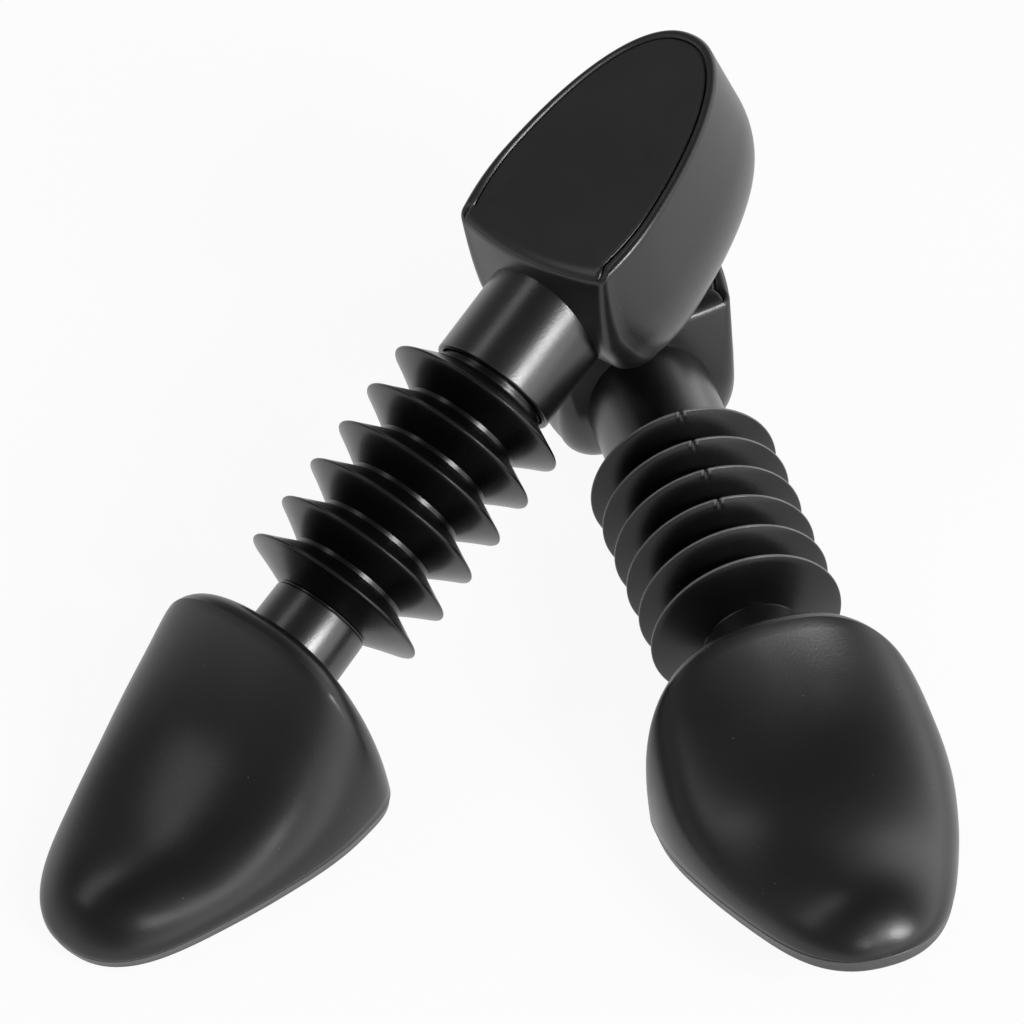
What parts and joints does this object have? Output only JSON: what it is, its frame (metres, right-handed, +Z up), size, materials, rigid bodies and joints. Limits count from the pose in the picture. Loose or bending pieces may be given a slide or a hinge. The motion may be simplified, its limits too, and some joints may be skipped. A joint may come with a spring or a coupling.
{
  "type": "adjustable shoe stretchers",
  "caption": "Pair of black plastic shoe stretchers, each a domed toe form and a heel block joined by a ribbed bellows that lengthens and flexes; one lies across the other.",
  "frame": {"origin": "centre of the pair's outline on the floor it lies on", "axes": "+Z up from the floor; +Y away from the toes, towards the heels; +X to the right, seen from the toes"},
  "size_m": [0.2316, 0.2728, 0.1178],
  "materials": {
    "hard_plastic": "satin black, moulded",
    "bellows_plastic": "soft black, blow-moulded, slightly glossy"
  },
  "bodies": {
    "right_heel": {"right_heel_shell": "hard_plastic", "right_heel_lid": "hard_plastic", "right_heel_collar": "hard_plastic"},
    "right_bellows": {"right_bellows": "bellows_plastic"},
    "right_toe": {"right_toe_neck": "hard_plastic", "right_toe_shell": "hard_plastic", "right_toe_sole": "hard_plastic"},
    "left_heel": {"left_heel_shell": "hard_plastic", "left_heel_lid": "hard_plastic", "left_heel_collar": "hard_plastic"},
    "left_bellows": {"left_bellows": "bellows_plastic"},
    "left_toe": {"left_toe_neck": "hard_plastic", "left_toe_shell": "hard_plastic", "left_toe_sole": "hard_plastic"}
  },
  "joints": [
    {"name": "right_bend", "type": "hinge", "parent": "right_heel", "child": "right_bellows", "pos_m": [0.05496, 0.0347, 0.02549], "axis": [-0.0037, 0.017, 0.9998], "range_deg": [-8, 8], "deforming": ["right_bellows"]},
    {"name": "right_extend", "type": "slide", "parent": "right_bellows", "child": "right_toe", "axis": [0.2113, -0.9773, 0.0174], "range_m": [-0.036, 0.008], "deforming": ["right_bellows"]},
    {"name": "left_lift", "type": "slide", "parent": "right_heel", "child": "left_heel", "axis": [0, 0, 1], "range_m": [0, 0.12]},
    {"name": "left_bend", "type": "hinge", "parent": "left_heel", "child": "left_bellows", "pos_m": [0.00812, 0.03144, 0.06255], "axis": [-0.3262, -0.134, 0.9358], "range_deg": [-8, 8], "deforming": ["left_bellows"]},
    {"name": "left_extend", "type": "slide", "parent": "left_bellows", "child": "left_toe", "axis": [-0.6475, -0.6895, -0.3244], "range_m": [-0.044, 0], "deforming": ["left_bellows"]}
  ]
}
